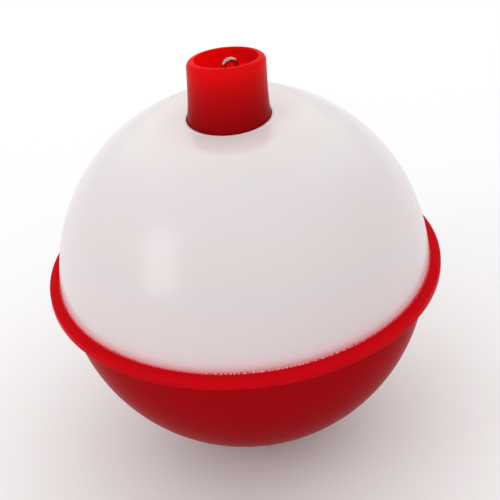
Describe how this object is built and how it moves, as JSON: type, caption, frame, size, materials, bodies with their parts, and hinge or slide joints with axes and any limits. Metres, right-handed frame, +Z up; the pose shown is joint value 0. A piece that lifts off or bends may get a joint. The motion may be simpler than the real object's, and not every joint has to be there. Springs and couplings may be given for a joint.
{
  "type": "bobber float",
  "caption": "Round fishing float: white dome, red bowl with a rim band, spring-loaded push button and a wire line hook at each end.",
  "frame": {"origin": "centre of the flat foot face under the ball, on the float's axis", "axes": "+Z up along the float's axis, from the foot to the push button; the hook tips head 20 degrees from +X towards +Y"},
  "size_m": [0.0508, 0.0508, 0.0549],
  "materials": {
    "white_dome": "glossy moulded, slightly translucent white",
    "red_bowl": "glossy moulded red",
    "red_button": "satin moulded red",
    "steel_wire": "drawn stainless spring wire",
    "spring_steel": "coiled stainless spring wire"
  },
  "bodies": {
    "float_body": {"upper_shell": "white_dome", "lower_shell": "red_bowl", "compression_spring": "spring_steel"},
    "hook": {"hook_wire": "steel_wire"},
    "button": {"push_button": "red_button"}
  },
  "joints": [
    {"name": "hook_drop", "type": "slide", "parent": "float_body", "child": "hook", "axis": [0, 0, -1], "range_m": [0, 0.004], "stiffness_N_per_m": 200, "springref_m": -0.003, "deforming": ["compression_spring"]},
    {"name": "rim_press", "type": "slide", "parent": "hook", "child": "button", "axis": [0, 0, -1], "range_m": [0, 0.0033], "stiffness_N_per_m": 200, "springref_m": -0.003, "deforming": ["compression_spring"]}
  ]
}
